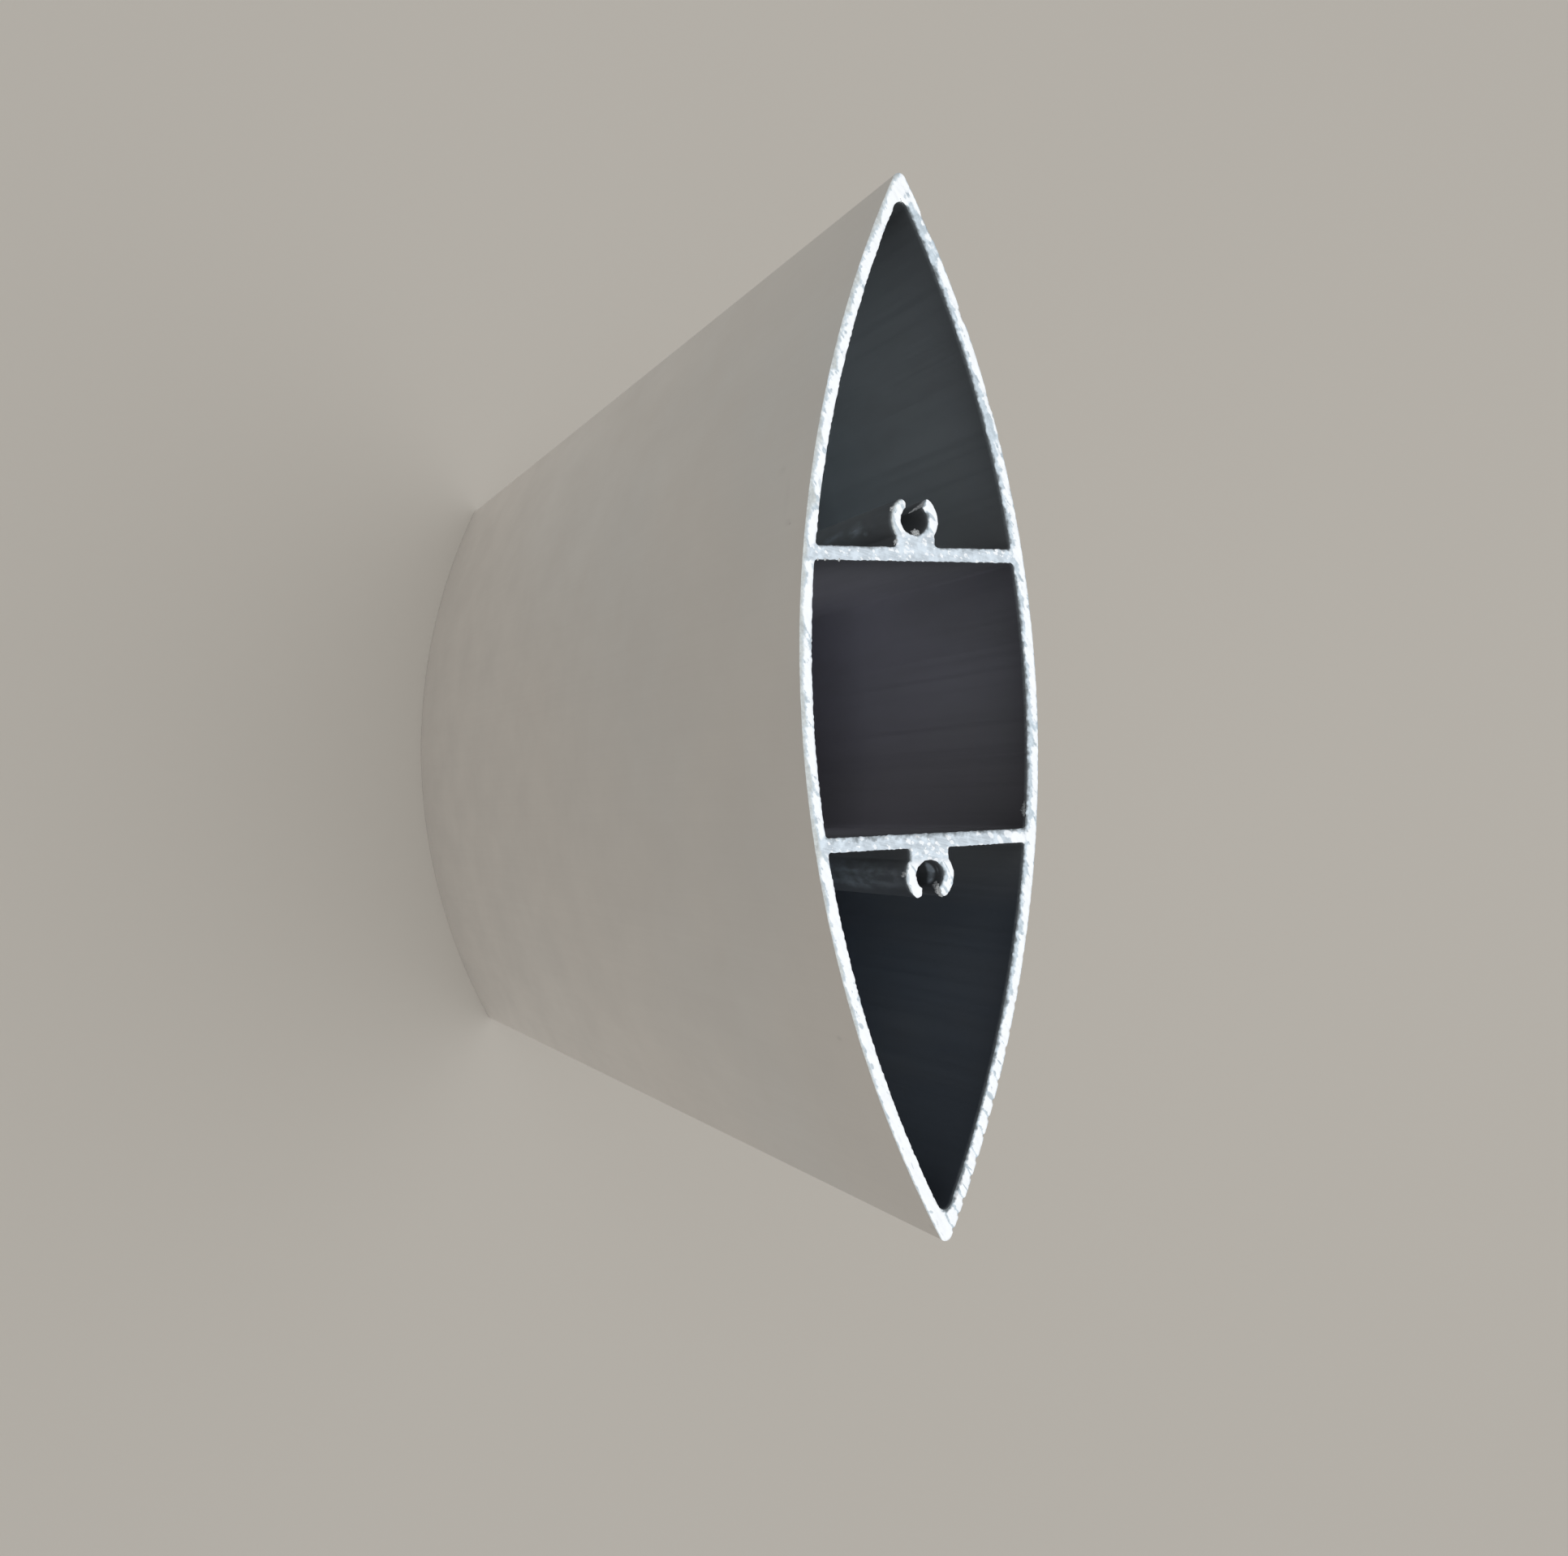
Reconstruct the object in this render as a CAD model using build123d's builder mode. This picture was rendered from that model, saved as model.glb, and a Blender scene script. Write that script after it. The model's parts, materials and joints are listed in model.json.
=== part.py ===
from build123d import *
from math import sqrt
import os

# Sun-louvre blade: one hollow aluminium extrusion with a pointed oval section.
# Two curved skins meet in a rounded nose at each edge. Two flat webs divide the
# inside into three chambers, and each web carries an open screw port that faces
# the nearer nose. The blade stands on its lower saw cut: +Z runs along the
# extrusion, X along the chord and Y through the thickness. The origin is the
# middle of the lower end. All sizes are in millimetres.

# Blade
LENGTH = 285.0
CHORD = 150.0
THICKNESS = 37.0
NOSE_RADIUS = 1.0

# Walls
SKIN_WALL = 1.8
WEB_WALL = 2.0
WEB_SPACING = 40.2
CHAMBER_NOSE_RADIUS = 1.1
WEB_CORNER_RADIUS = 0.5

# Screw ports
PORT_BORE = 4.3
PORT_WALL = 1.6
PORT_FLOOR = 1.7
PORT_MOUTH = 2.6
PORT_NECK = 6.0
NECK_FILLET = 0.5
LIP_EDGE_RADIUS = 0.3

# Each lip's tip is rounded by this share of the port's wall
LIP_ROUNDING = 0.45

# How near a corner lies to the place where it is looked for
MATCH = 0.01

# Each skin is one arc. Its radius follows from the chord, the thickness and the
# nose that rounds off the point where the two arcs would meet.
skin_radius = (
    (CHORD / 2 - NOSE_RADIUS) ** 2 - NOSE_RADIUS**2 + (THICKNESS / 2) ** 2
) / (THICKNESS - 2 * NOSE_RADIUS)
skin_centre = skin_radius - THICKNESS / 2

# Places along the chord, from the middle of the blade
web_centre = WEB_SPACING / 2
web_face = web_centre + WEB_WALL / 2
port_centre = web_face + PORT_FLOOR + PORT_BORE / 2
port_radius = PORT_BORE / 2 + PORT_WALL


def lens(inset, nose):
    """Pointed oval between the two skin arcs, moved in by the inset."""
    reach = sqrt((skin_radius - inset) ** 2 - skin_centre**2)
    with BuildSketch() as oval:
        with BuildLine():
            ThreePointArc((-reach, 0), (0, THICKNESS / 2 - inset), (reach, 0))
            mirror(about=Plane.XZ)
        make_face()
        fillet(oval.vertices(), nose)
    return oval.sketch


# Screw port: a C round the bore, on a neck that stands on the web. The sketch's
# origin is the bore's centre, and the mouth opens along +X.
with BuildSketch() as port:
    with Locations((-port_centre + web_centre, 0)):
        Rectangle(port_centre - web_centre, PORT_NECK, align=(Align.MIN, Align.CENTER))
    Circle(port_radius)
    Circle(PORT_BORE / 2, mode=Mode.SUBTRACT)
    Rectangle(
        2 * port_radius,
        PORT_MOUTH,
        align=(Align.MIN, Align.CENTER),
        mode=Mode.SUBTRACT,
    )
    lip_tips = port.vertices().sort_by(Axis.X)[-2:]
    fillet(lip_tips, LIP_ROUNDING * PORT_WALL)
    mouth_side = port.vertices().filter_by_position(Axis.X, 0, port_radius)
    lip_edges = mouth_side.sort_by(Axis.X)[:2]
    fillet(lip_edges, LIP_EDGE_RADIUS)

# Chambers: the space inside the skins, less the two webs and their ports
with BuildSketch() as chambers:
    add(lens(SKIN_WALL, CHAMBER_NOSE_RADIUS))
    with GridLocations(WEB_SPACING, 0, 2, 1):
        Rectangle(WEB_WALL, THICKNESS, mode=Mode.SUBTRACT)
    web_corners = chambers.vertices().filter_by_position(Axis.X, -port_centre, port_centre)
    fillet(web_corners, WEB_CORNER_RADIUS)
    with PolarLocations(port_centre, 2):
        add(port.sketch, mode=Mode.SUBTRACT)
    neck_corners = chambers.vertices().filter_by(
        lambda corner: abs(abs(corner.X) - web_face) < MATCH
        and abs(abs(corner.Y) - PORT_NECK / 2) < MATCH
    )
    fillet(neck_corners, NECK_FILLET)

# Blade: the full section, extruded from saw cut to saw cut
with BuildPart() as louvre_blade:
    with BuildSketch():
        add(lens(0, NOSE_RADIUS))
        add(chambers.sketch, mode=Mode.SUBTRACT)
    extrude(amount=LENGTH)
louvre_blade.part.label = "louvre_blade"

os.makedirs("parts", exist_ok=True)
export_step(louvre_blade.part, "parts/louvre_blade.step")
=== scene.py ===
import json
from math import atan2, ceil, pi, radians, sqrt

import bpy
import numpy as np
from bpy.props import FloatProperty, FloatVectorProperty, IntProperty, PointerProperty
from mathutils import Matrix, Vector
from mathutils.geometry import delaunay_2d_cdt
from mathutils.kdtree import KDTree


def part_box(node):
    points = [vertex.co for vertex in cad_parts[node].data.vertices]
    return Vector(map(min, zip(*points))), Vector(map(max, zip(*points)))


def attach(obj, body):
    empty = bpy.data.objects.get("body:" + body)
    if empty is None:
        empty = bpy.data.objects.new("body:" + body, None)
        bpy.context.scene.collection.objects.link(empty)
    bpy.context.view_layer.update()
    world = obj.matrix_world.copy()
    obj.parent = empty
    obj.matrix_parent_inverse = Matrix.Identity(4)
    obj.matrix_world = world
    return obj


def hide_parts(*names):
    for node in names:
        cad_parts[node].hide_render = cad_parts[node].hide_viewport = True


bl_info = {
    "name": "Louvre Blade Offcut",
    "version": (1, 0, 0),
    "blender": (4, 5, 0),
    "location": "3D View > Sidebar > Blade",
    "description": "Builds a short offcut of a hollow aluminium louvre blade with rough saw cuts",
    "category": "Object",
}

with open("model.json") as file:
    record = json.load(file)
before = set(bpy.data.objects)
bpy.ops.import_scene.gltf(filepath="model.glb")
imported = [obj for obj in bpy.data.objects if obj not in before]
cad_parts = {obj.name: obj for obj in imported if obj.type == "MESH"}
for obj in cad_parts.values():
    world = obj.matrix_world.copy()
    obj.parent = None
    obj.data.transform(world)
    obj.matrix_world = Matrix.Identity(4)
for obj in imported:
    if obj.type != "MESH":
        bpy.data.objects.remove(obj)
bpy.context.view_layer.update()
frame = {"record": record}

NODE = "louvre_blade"
BODY = "root"
WEB_SHARE = "web_share"
SMEAR_SHARE = "smear_share"
PAINTED_EDGE_SHADE = "painted_edge_shade"
CHIP_DUST = "chip_dust"
MM = 0.001
SHARP_ANGLE = radians(38)

# Scuffs on the front skin, the last one a painted shadow line by the +X nose: place, reach along each axis
# in millimetres, and strength
SKIN_SCUFFS_AND_SHADE = (
    ((-33.7, -15.1, 273.6), (1.0, 8, 2.2), 0.06),
    ((-29.0, -16.0, 276.7), (4.8, 8, 1.5), 0.03),
    ((-25.3, -16.6, 278.4), (0.8, 8, 2.0), 0.08),
    ((-25.0, -16.6, 279.1), (0.24, 8, 0.5), 0.30),
    ((47.2, -11.7, 277.8), (0.6, 8, 1.4), 0.12),
    # Painted shadow, not a scuff
    ((73.2, -1.5, 283.8), (0.5, 3, 1.2), 0.15),
)

# Marks on the upper cut, grey and bright: place across it, half length and half width in
# millimetres, direction from the chord in degrees, and strength
GREY_MARKS = (
    (70.8, -2.1, 0.5, 0.3, 60, 0.8),
    (64.2, -4.7, 0.9, 0.12, 22, 0.6),
    (61.8, -6.0, 0.4, 0.15, 30, 0.5),
    (44.7, -11.5, 0.7, 0.45, 30, 0.85),
    (50.3, -10.1, 0.7, 0.35, 20, 0.85),
    (42.8, -12.1, 0.3, 0.12, 20, 0.9),
    (40.0, -12.6, 0.3, 0.12, 20, 0.8),
    (65.6, 4.1, 1.0, 0.14, 47, 1.0),
    (68.1, 3.3, 1.1, 0.12, 34, 1.0),
    (51.6, 9.6, 0.8, 0.2, 38, 1.0),
    (56.1, 7.9, 1.1, 0.6, 34, 0.9),
    (-67.4, 3.4, 2.3, 0.6, 31, 0.6),
    (-29.4, -14.2, 1.8, 0.5, 12, 0.5),
    (-28.3, -14.4, 0.3, 0.1, 60, 0.9),
    (-25.4, 2.9, 1.2, 0.36, 40, 0.9),
    (-23.3, -2.6, 1.0, 0.4, 45, 0.8),
    (25.2, -3.4, 1.5, 0.35, 0, 0.7),
)
BRIGHT_MARKS = (
    (-68.0, 3.4, 0.6, 0.4, 20, 1.0),
    (-73.9, 0.1, 0.7, 0.4, 10, 1.0),
    (56.5, 7.7, 0.6, 0.14, 34, 0.8),
    (-20.9, 13.0, 0.5, 0.35, 40, 1.0),
    (19.8, 9.9, 1.0, 0.5, 50, 0.7),
    (20.6, 11.4, 1.2, 0.6, 35, 0.8),
    (19.8, 12.8, 1.5, 0.8, 60, 0.8),
    (20.5, 14.2, 2.2, 1.5, 75, 1.0),
)

# Pale patches on the walls inside, most of them on and in the screw ports: place and
# reach in millimetres, and strength. Those on and in the +X port are painted light and a painted reflection
PALE_PATCHES = (
    ((-25.0, -3.6, 264.0), (3.2, 2.0, 26.0), 0.2),
    ((-25.3, -3.7, 265.5), (0.9, 1.2, 8.0), 0.8),
    ((-25.4, -3.7, 273.0), (1.5, 1.2, 3.4), 1.4),
    ((-24.2, -3.6, 276.5), (0.5, 1.2, 1.1), 1.4),
    ((-40.0, 13.0, 252.2), (1.4, 3, 2.5), 0.07),
    # Painted light down the +X port's outer wall
    ((24.5, -3.7, 267.0), (0.4, 1.2, 9.0), 0.9),
    ((26.2, -3.4, 268.0), (1.2, 1.2, 10.0), 0.7),
    ((25.0, -3.6, 264.0), (3.4, 2.2, 26.0), 0.8),
    # Painted reflection in the bore of the +X port
    ((24.6, 2.1, 281.1), (2.1, 1.4, 1.6), 4.0),
    ((24.3, 2.1, 283.3), (0.9, 1.2, 0.35), 0.3),
)

# Torn chips on the upper cut's inner edges: how dark with dust each one is, then places
# across the cut, depth below it and half the width there, in millimetres
CHIPS = (
    (0.3, (
        (-22.8, -0.45, 0.6, 0.3), (-23.1, -0.1, 0.4, 0.56),
        (-23.1, 0.45, 0.4, 0.56), (-22.9, 0.8, 0.6, 0.36),
    )),
    (0.75, (
        (-27.5, 1.6, 0.15, 0.3), (-27.0, 1.1, 0.25, 0.34),
        (-26.6, 0.4, 0.35, 0.2), (-26.0, -0.6, 0.6, 0.1),
    )),
    (0.2, ((-26.8, -3.1, 0.2, 0.2), (-26.5, -3.45, 0.2, 0.26), (-26.2, -3.6, 0.3, 0.14))),
    (0.3, ((-22.3, -2.8, 0.2, 0.2), (-21.9, -3.1, 0.15, 0.24), (-21.4, -3.2, 0.3, 0.16))),
    (0.6, ((24.4, -3.4, 0.3, 0.3), (24.6, -3.9, 0.3, 0.36), (24.9, -4.2, 0.45, 0.26))),
    (0.45, (
        (28.0, 1.8, 0.15, 0.34), (27.3, 1.3, 0.15, 0.46),
        (26.6, 1.1, 0.25, 0.36), (26.2, 1.4, 0.4, 0.24),
    )),
    (0.85, ((26.9, 0.9, 0.3, 0.2), (26.4, 0.8, 0.5, 0.3), (25.9, 1.3, 0.7, 0.26))),
    (0.85, (
        (17.4, 15.5, 0.2, 0.2), (16.6, 15.5, 0.3, 0.4),
        (15.9, 15.7, 0.35, 0.3), (15.2, 15.8, 0.4, 0.14),
    )),
    (0.0, ((-19.35, -15.1, 0.1, 0.18), (-18.95, -15.1, 0.15, 0.15))),
    (0.0, ((-19.35, -14.0, 0.1, 0.18), (-18.95, -14.0, 0.15, 0.15))),
    (0.0, ((-19.35, -11.9, 0.1, 0.22), (-18.9, -11.9, 0.15, 0.17))),
    (0.0, ((-71.4, 0.1, 0.1, 0.22), (-70.7, 0.15, 0.15, 0.15))),
    (0.3, ((-71.2, 0.5, 0.15, 0.2), (-70.6, 0.5, 0.3, 0.12))),
)

low_corner, high_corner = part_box(NODE)
mounts = {mount["name"]: mount for mount in frame["record"]["mounts"]}
port_mount = mounts["screw_port_plus_x"]
web_mount = mounts["upper_end"]


def property_maker(kind, **settings):
    """A function that makes one kind of property from its name, description and default."""

    def make(name, description, default):
        return kind(name=name, description=description, default=default, **settings)

    return make


length = property_maker(FloatProperty, unit="LENGTH", precision=5)
share = property_maker(FloatProperty, min=0, max=1, subtype="FACTOR")
bearing = property_maker(FloatProperty, subtype="ANGLE")
amount = property_maker(FloatProperty)
focal_length = property_maker(FloatProperty, unit="CAMERA")
whole_number = property_maker(IntProperty)
position = property_maker(FloatVectorProperty, subtype="TRANSLATION")
colour = property_maker(FloatVectorProperty, size=3, subtype="COLOR")


class BladeSection(bpy.types.PropertyGroup):
    """Sizes of the extrusion, the same from end to end."""

    length: length("Length", "From saw cut to saw cut", high_corner.z - low_corner.z)
    chord: length("Chord", "From nose to nose", high_corner.x - low_corner.x)
    thickness: length("Thickness", "Over both skins", high_corner.y - low_corner.y)
    nose_radius: length("Nose radius", "Rounding where the skins meet", 1.0 * MM)
    skin_wall: length("Skin wall", "Thickness of each curved skin", 1.8 * MM)
    chamber_nose_radius: length("Chamber nose radius", "Rounding inside each nose", 1.1 * MM)
    web_centre: length("Web centre", "From the middle of the blade to a web", web_mount["pos_m"][0])
    web_wall: length("Web wall", "Thickness of each flat web", 2.0 * MM)
    web_corner_radius: length("Web corner radius", "Rounding where web meets skin", 0.5 * MM)
    port_centre: length("Port centre", "From the middle of the blade to a port", port_mount["pos_m"][0])
    bore_radius: length("Bore radius", "Inside of a screw port", port_mount["dims"]["r_mm"] * MM)
    port_wall: length("Port wall", "Wall of a screw port", 1.6 * MM)
    port_mouth: length("Port mouth", "Gap between a port's lips", 2.6 * MM)
    port_neck: length("Port neck", "Width of the neck on the web", 6.0 * MM)
    neck_fillet: length("Neck fillet", "Rounding where neck meets web", 0.5 * MM)
    lip_radius: length("Lip radius", "Rounding of a lip's tip", 0.72 * MM)
    lip_edge_radius: length("Lip edge radius", "Rounding of a lip towards the bore", 0.3 * MM)


class SawCut(bpy.types.PropertyGroup):
    """The marks that a coarse blade left on both ends."""

    pitch: length("Pitch", "Mean distance between two bites of the saw", 2.3 * MM)
    unevenness: share("Unevenness", "How much the pitch varies", 0.4)
    bite_gap: length("Bite gap", "Half the width of the torn strip between two bites", 0.28 * MM)
    coarse: amount("Coarse", "How much further apart the larger gaps in the smears lie", 2.4)
    direction: bearing("Direction", "Way of the marks, from the chord towards the back skin", radians(30))
    lump: length("Lump height", "Height of the uneven lumps on the cut", 0.014 * MM)
    web_depth: length("Web depth", "Depth of the finer marks on the webs", 0.015 * MM)
    web_pitch: length("Web pitch", "Distance between marks on the webs", 0.35 * MM)
    edge_width: length("Edge width", "Width of the worn border on a sharp edge", 0.14 * MM)
    rolled_width: length("Rolled width", "Width of the border where the saw rolled the edge", 0.5 * MM)
    edge_drop: length("Edge drop", "How far a sharp edge is rounded down", 0.05 * MM)
    rolled_drop: length("Rolled drop", "How far a rolled edge is rounded down", 0.13 * MM)
    outer_smear: length("Outer smear", "Width of the grey smear inside the outer edge", 1.4 * MM)
    inner_smear: length("Inner smear", "Width of the grey smear beside a chamber", 1.5 * MM)
    port_smear: length("Port smear", "Width of the grey smear on a port's arms", 1.0 * MM)
    rim: length("Rim", "Width of the dull rim along the outer edge", 0.12 * MM)
    # Painted shade, not a mark of the saw
    edge_shade: length("Edge shade", "Width of the dark border on an inner edge", 0.5 * MM)
    drag: bearing("Drag", "Way that the saw dragged the metal", radians(243))
    nibble: length("Nibble", "How far the cut's outer edge is nibbled away", 0.03 * MM)
    nick: length("Nick", "Depth of the nicks in the back skin by the noses", 0.26 * MM)
    burr: length("Burr", "How far metal hangs over an inner edge", 0.08 * MM)
    upper_grain: length("Upper grain", "Mesh size on the upper cut", 0.17 * MM)
    lower_grain: length("Lower grain", "Mesh size on the lower cut", 0.27 * MM)
    edge_step: length("Edge step", "Distance between points on the outlines", 0.17 * MM)
    seed: whole_number("Seed", "Picks another set of marks", 7)


class MillFinish(bpy.types.PropertyGroup):
    """Colours and gloss of the metal, with the painted light, shade and reflections noted at their colours.
    """

    skin: colour("Skin", "Mill aluminium of the outer skins", (0.72, 0.69, 0.655))
    # Painted reflection: the cooler blotches stand for the room's blurred reflection in the skin
    skin_cool_reflection: colour("Cool skin", "The same metal in its cooler blotches", (0.67, 0.685, 0.685))
    skin_roughness: share("Skin roughness", "Mean roughness of the skins", 0.36)
    # Painted light and shade: the chambers' walls are one metal, each given its own colour for how brightly
    # lit it looks; the dull film in their descriptions is painted shade
    upper_chamber: colour("Chamber towards -X", "Walls under the dull film", (0.80, 0.87, 0.91))
    middle_chamber: colour("Middle chamber", "Walls under the dull film", (0.68, 0.68, 0.76))
    lower_chamber: colour("Chamber towards +X", "Walls under the dull film", (0.37, 0.43, 0.51))
    chamber_roughness: share("Chamber roughness", "Mean roughness inside", 0.45)
    # Painted shade: the walls are darkened near each cut, fading out at this depth
    shade_depth: length("Dull depth", "How far the dull film reaches in from each saw cut", 54 * MM)
    brightness_at_mouth: share("Dull share", "What the film leaves of the wall's brightness at the cut", 0.12)
    cut: colour("Saw cut", "Fresh bright metal", (0.955, 0.97, 0.975))
    web_cut: colour("Web cut", "Duller metal on the webs' cut", (0.63, 0.695, 0.745))
    smear: colour("Smear", "Metal that the saw dragged along", (0.54, 0.61, 0.655))
    # Painted reflection: the smear's edge on the front half, warm like the floor
    floor_reflection_edge: colour("Smear's edge", "The smear where it meets the skin", (0.55, 0.57, 0.55))
    # Painted shade on the inner edges, not torn metal
    inner_edge_shade: colour("Dragged edge", "Torn metal on an inner edge", (0.13, 0.145, 0.15))
    cut_roughness: share("Cut roughness", "Mean roughness of the saw cut", 0.36)
    chip: colour("Chip", "Torn chips that hang on the inner edges", (0.60, 0.61, 0.60))
    # Pale colour of the patches inside; on and in the +X port it is painted light and a painted reflection
    dust: colour("Dust", "Dust and scratches on the chambers' walls", (0.66, 0.75, 0.82))
    # Dark colour of the scuffs, also used for the painted shadow line by the +X nose
    mark: colour("Mark", "Dirt in the small scuffs on the skin", (0.10, 0.10, 0.11))


class Studio(bpy.types.PropertyGroup):
    """Floor, light and camera."""

    floor: colour("Floor", "Plain pale floor", (0.57, 0.525, 0.46))
    floor_radius: length("Floor radius", "Half the floor's width", 6.0)
    sky: colour("Sky", "Even light from all round", (0.93, 0.96, 1.0))
    sky_strength: share("Sky strength", "Strength of the even light", 0.60)
    backdrop: colour("Backdrop", "What the camera sees past the floor", (0.62, 0.60, 0.56))
    softbox_side: length("Softbox side", "Side of the large lamp overhead", 3.6)
    softbox_radiance: amount("Softbox radiance", "Brightness of the lamp's face", 0.50)
    softbox_place: position("Softbox place", "Middle of the large lamp", (0.0, 0.3, 2.1))
    camera_place: position("Camera place", "Where the camera stands", (0.01284, -0.10802, 0.49595))
    camera_aim: position("Camera aim", "Point that the camera looks at", (-0.00108, -0.02092, 0.285))
    camera_turn: bearing("Camera turn", "Turn of the picture's upward direction from -X", radians(2.41))
    camera_shift: amount("Camera shift", "Picture's shift from the lens axis, over its width", -0.0556)
    lens: focal_length("Lens", "Focal length in millimetres", 38.76)


def joined(*parts):
    """The rows of several arrays, one after the other."""
    return np.concatenate(parts)


def arc(centre, radius, start, turn, step):
    """Points along an arc from its start angle, without the last one."""
    count = max(3, ceil(abs(turn) * radius / step))
    angle = start + turn * np.arange(count) / count
    return np.column_stack((centre[0] + radius * np.cos(angle), centre[1] + radius * np.sin(angle)))


def run(start, end, step):
    """Points along a straight line, without the last one."""
    start, end = np.array(start), np.array(end)
    count = max(1, ceil(np.linalg.norm(end - start) / step))
    return start + (end - start) * np.arange(count)[:, None] / count


def skin_arc(section):
    """Radius of a skin's outer arc, and how far its centre lies beyond the chord."""
    reach = section.chord / 2 - section.nose_radius
    half = section.thickness / 2
    radius = (reach**2 - section.nose_radius**2 + half**2) / (2 * (half - section.nose_radius))
    return radius, radius - half


def outer_outline(section, step):
    """Both skins and both noses, anticlockwise."""
    radius, centre = skin_arc(section)
    nose = section.chord / 2 - section.nose_radius
    meet = atan2(centre, nose)
    return joined(
        arc((0, -centre), radius, meet, pi - 2 * meet, step),
        arc((-nose, 0), section.nose_radius, pi - meet, 2 * meet, step),
        arc((0, centre), radius, pi + meet, pi - 2 * meet, step),
        arc((nose, 0), section.nose_radius, -meet, 2 * meet, step),
    )


def web_corner(section, side):
    """The face of a web, its corner's centre above the chord, and where that corner meets the skin."""
    radius, centre = skin_arc(section)
    fillet = section.web_corner_radius
    wall = section.web_centre + side * section.web_wall / 2
    x = wall + side * fillet
    y = sqrt((radius - section.skin_wall - fillet) ** 2 - x**2) - centre
    return wall, x, y, atan2(y + centre, x)


def middle_outline(section, step):
    """The middle chamber, clockwise."""
    radius, centre = skin_arc(section)
    inner = radius - section.skin_wall
    fillet = section.web_corner_radius
    wall, x, y, meet = web_corner(section, -1)
    half = joined(
        arc((0, -centre), inner, pi - meet, 2 * meet - pi, step),
        arc((x, y), fillet, meet, -meet, step),
        run((wall, y), (wall, -y), step),
        arc((x, -y), fillet, 0, -meet, step),
    )
    return joined(half, -half)


def port_outline(section, step):
    """The -Y lip of the +X port, from its neck to the bore, and where the neck meets the port."""
    outer = section.bore_radius + section.port_wall
    mouth = section.port_mouth / 2
    lip, edge = section.lip_radius, section.lip_edge_radius
    lip_x = sqrt((outer - lip) ** 2 - (mouth + lip) ** 2)
    lip_meet = atan2(mouth + lip, lip_x)
    edge_x = sqrt((section.bore_radius + edge) ** 2 - (mouth + edge) ** 2)
    edge_meet = atan2(mouth + edge, edge_x)
    neck_x = -sqrt(outer**2 - (section.port_neck / 2) ** 2)
    neck_meet = atan2(-section.port_neck / 2, neck_x)
    centre = section.port_centre
    outline = joined(
        arc((centre, 0), outer, neck_meet, -lip_meet - neck_meet, step),
        arc((centre + lip_x, -mouth - lip), lip, -lip_meet, pi / 2 + lip_meet, step),
        run((centre + lip_x, -mouth), (centre + edge_x, -mouth), step),
        arc((centre + edge_x, -mouth - edge), edge, pi / 2, pi / 2 - edge_meet, step),
        arc((centre, 0), section.bore_radius, -edge_meet, edge_meet - pi, step),
    )
    return outline, neck_x


def chamber_outline(section, step):
    """The chamber towards +X with its screw port, clockwise."""
    radius, centre = skin_arc(section)
    inner = radius - section.skin_wall
    nose_radius = section.chamber_nose_radius
    nose = sqrt((inner - nose_radius) ** 2 - centre**2)
    nose_meet = atan2(centre, nose)
    wall, x, y, meet = web_corner(section, 1)
    fillet = section.web_corner_radius
    neck, neck_fillet = section.port_neck / 2, section.neck_fillet
    lip, neck_x = port_outline(section, step)
    half = joined(
        arc((nose, 0), nose_radius, 0, -nose_meet, step),
        arc((0, centre), inner, -nose_meet, nose_meet - meet, step),
        arc((x, -y), fillet, -meet, meet - pi, step),
        run((wall, -y), (wall, -neck - neck_fillet), step),
        arc((wall + neck_fillet, -neck - neck_fillet), neck_fillet, pi, -pi / 2, step),
        run((wall + neck_fillet, -neck), (section.port_centre + neck_x, -neck), step),
        lip,
    )
    middle_of_bore = np.array([[section.port_centre - section.bore_radius, 0]])
    mirrored = joined(half[1:], middle_of_bore)[::-1] * (1, -1)
    return joined(half, mirrored)


def outlines(section, step):
    """Every closed outline of the section, each with the metal on its left."""
    chamber = chamber_outline(section, step)
    return [outer_outline(section, step), middle_outline(section, step), chamber, -chamber]


def numbered(loops):
    """The numbers of each outline's points, counted on from one to the next, and of those that follow."""
    first = 0
    for loop in loops:
        here = first + np.arange(len(loop))
        yield here, np.roll(here, -1)
        first += len(loop)


def below_skin(points, section):
    """How far each point lies below the nearer skin's outer arc."""
    radius, centre = skin_arc(section)
    return radius - np.hypot(points[:, 0], np.abs(points[:, 1]) + centre)


def from_bore(points, section):
    """Each point's distance to the axis of the nearer screw port."""
    return np.hypot(np.abs(points[:, 0]) - section.port_centre, points[:, 1])


def nearest_of(points, border):
    """For each point the nearest border point: its place, its number and how far it is."""
    tree = KDTree(len(border))
    for index, (x, y) in enumerate(border):
        tree.insert((x, y, 0), index)
    tree.balance()
    places, numbers, distances = zip(*(tree.find((x, y, 0)) for x, y in points))
    return np.array(places)[:, :2], np.array(numbers), np.array(distances)


def away_from_metal(points):
    """Unit normals of a closed outline that point out of the metal."""
    along = np.roll(points, -1, 0) - np.roll(points, 1, 0)
    along /= np.linalg.norm(along, axis=1)[:, None]
    return np.column_stack((along[:, 1], -along[:, 0]))


def noise(points, size, seed):
    """Smooth noise from -1 to 1 over the plane, with lumps about one size across."""
    lattice = 256
    table = np.random.default_rng(seed).uniform(-1, 1, (lattice, lattice))
    cell = points / size
    corner = np.floor(cell).astype(int)
    part = cell - corner
    part = part * part * (3 - 2 * part)

    def at(x, y):
        return table[(corner[:, 0] + x) % lattice, (corner[:, 1] + y) % lattice]

    low = at(0, 0) * (1 - part[:, 0]) + at(1, 0) * part[:, 0]
    high = at(0, 1) * (1 - part[:, 0]) + at(1, 1) * part[:, 0]
    return low * (1 - part[:, 1]) + high * part[:, 1]


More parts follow.
